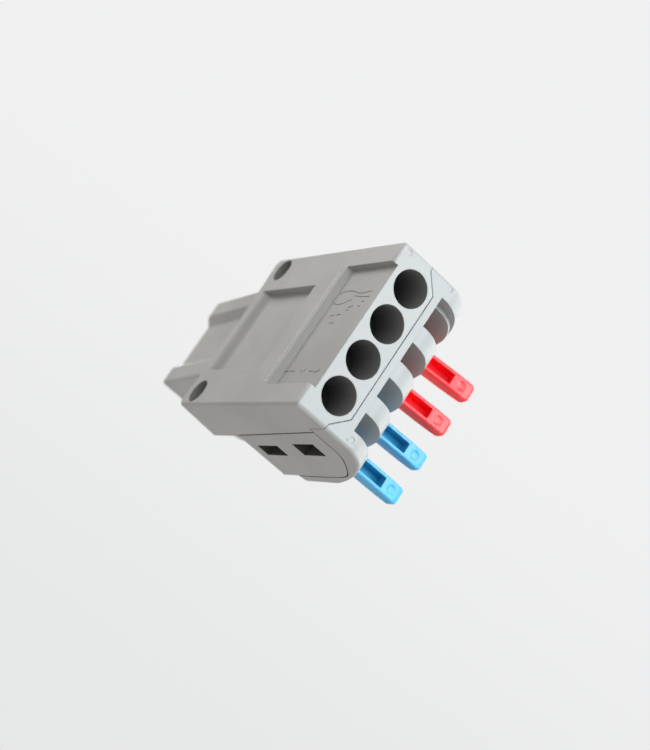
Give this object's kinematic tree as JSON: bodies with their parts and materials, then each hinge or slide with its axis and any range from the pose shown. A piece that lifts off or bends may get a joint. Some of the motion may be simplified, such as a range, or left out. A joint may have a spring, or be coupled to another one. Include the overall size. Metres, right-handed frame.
{
  "type": "lever wire connector",
  "caption": "Grey in-line terminal block with colour-coded lever clamps, larger wire port face at the front, narrower one at the rear and two screw ears.",
  "frame": {"origin": "centre of the footprint on the mounting face", "axes": "+X towards the wide wire port face, +Z from the mounting face towards the levers, +Y towards the blue pole"},
  "size_m": [0.0498, 0.0256, 0.0264],
  "materials": {
    "grey_housing": "fine satin texture",
    "grey_cover": "fine satin texture",
    "grey_carrier": "fine satin texture",
    "blue_lever": "satin moulded",
    "red_lever": "satin moulded",
    "tinned_copper": "rolled strip, lightly tarnished",
    "spring_steel": "bright rolled strip"
  },
  "bodies": {
    "housing": {"base_housing": "grey_housing", "contact_carrier": "grey_carrier", "front_lever_cover": "grey_cover", "rear_lever_cover": "grey_cover", "busbar_blue_pole": "tinned_copper", "busbar_red_pole": "tinned_copper"},
    "front_lever_blue_outer_body": {"front_lever_blue_outer": "blue_lever"},
    "front_clamp_spring_blue_outer_body": {"front_clamp_spring_blue_outer": "spring_steel"},
    "front_lever_blue_inner_body": {"front_lever_blue_inner": "blue_lever"},
    "front_clamp_spring_blue_inner_body": {"front_clamp_spring_blue_inner": "spring_steel"},
    "front_lever_red_inner_body": {"front_lever_red_inner": "red_lever"},
    "front_clamp_spring_red_inner_body": {"front_clamp_spring_red_inner": "spring_steel"},
    "front_lever_red_outer_body": {"front_lever_red_outer": "red_lever"},
    "front_clamp_spring_red_outer_body": {"front_clamp_spring_red_outer": "spring_steel"},
    "rear_lever_blue_body": {"rear_lever_blue": "blue_lever"},
    "rear_clamp_spring_blue_body": {"rear_clamp_spring_blue": "spring_steel"},
    "rear_lever_red_body": {"rear_lever_red": "red_lever"},
    "rear_clamp_spring_red_body": {"rear_clamp_spring_red": "spring_steel"}
  },
  "joints": [
    {"name": "front_lever_blue_outer_hinge", "type": "hinge", "parent": "housing", "child": "front_lever_blue_outer_body", "pos_m": [0.0084, 0.0084, 0.0145], "axis": [0, 1, 0], "range_deg": [-91.5, 13.5]},
    {"name": "front_clamp_spring_blue_outer_flex", "type": "hinge", "parent": "housing", "child": "front_clamp_spring_blue_outer_body", "pos_m": [0.0034, 0.0084, 0.0092], "axis": [0, 1, 0], "range_deg": [-20.23, 3.07]},
    {"name": "front_lever_blue_inner_hinge", "type": "hinge", "parent": "housing", "child": "front_lever_blue_inner_body", "pos_m": [0.0084, 0.0028, 0.0145], "axis": [0, 1, 0], "range_deg": [-95, 10]},
    {"name": "front_clamp_spring_blue_inner_flex", "type": "hinge", "parent": "housing", "child": "front_clamp_spring_blue_inner_body", "pos_m": [0.0034, 0.0028, 0.0092], "axis": [0, 1, 0], "range_deg": [-21, 2.3]},
    {"name": "front_lever_red_inner_hinge", "type": "hinge", "parent": "housing", "child": "front_lever_red_inner_body", "pos_m": [0.0084, -0.0028, 0.0145], "axis": [0, 1, 0], "range_deg": [-100, 5]},
    {"name": "front_clamp_spring_red_inner_flex", "type": "hinge", "parent": "housing", "child": "front_clamp_spring_red_inner_body", "pos_m": [0.0034, -0.0028, 0.0092], "axis": [0, 1, 0], "range_deg": [-22.1, 1.2]},
    {"name": "front_lever_red_outer_hinge", "type": "hinge", "parent": "housing", "child": "front_lever_red_outer_body", "pos_m": [0.0084, -0.0084, 0.0145], "axis": [0, 1, 0], "range_deg": [-104, 1]},
    {"name": "front_clamp_spring_red_outer_flex", "type": "hinge", "parent": "housing", "child": "front_clamp_spring_red_outer_body", "pos_m": [0.0034, -0.0084, 0.0092], "axis": [0, 1, 0], "range_deg": [-22.98, 0.32]},
    {"name": "rear_lever_blue_hinge", "type": "hinge", "parent": "housing", "child": "rear_lever_blue_body", "pos_m": [-0.017, 0.0028, 0.0149], "axis": [0, -1, 0], "range_deg": [0, 105]},
    {"name": "rear_clamp_spring_blue_flex", "type": "hinge", "parent": "housing", "child": "rear_clamp_spring_blue_body", "pos_m": [-0.012, 0.0028, 0.0104], "axis": [0, -1, 0], "range_deg": [-0.1, 23.2]},
    {"name": "rear_lever_red_hinge", "type": "hinge", "parent": "housing", "child": "rear_lever_red_body", "pos_m": [-0.017, -0.0028, 0.0149], "axis": [0, -1, 0], "range_deg": [0, 105]},
    {"name": "rear_clamp_spring_red_flex", "type": "hinge", "parent": "housing", "child": "rear_clamp_spring_red_body", "pos_m": [-0.012, -0.0028, 0.0104], "axis": [0, -1, 0], "range_deg": [-0.1, 23.2]}
  ],
  "couplings": [
    {"joint": "front_clamp_spring_blue_outer_flex", "follows": "front_lever_blue_outer_hinge", "ratio": 0.22},
    {"joint": "front_clamp_spring_blue_inner_flex", "follows": "front_lever_blue_inner_hinge", "ratio": 0.22},
    {"joint": "front_clamp_spring_red_inner_flex", "follows": "front_lever_red_inner_hinge", "ratio": 0.22},
    {"joint": "front_clamp_spring_red_outer_flex", "follows": "front_lever_red_outer_hinge", "ratio": 0.22},
    {"joint": "rear_clamp_spring_blue_flex", "follows": "rear_lever_blue_hinge", "ratio": 0.22},
    {"joint": "rear_clamp_spring_red_flex", "follows": "rear_lever_red_hinge", "ratio": 0.22}
  ]
}
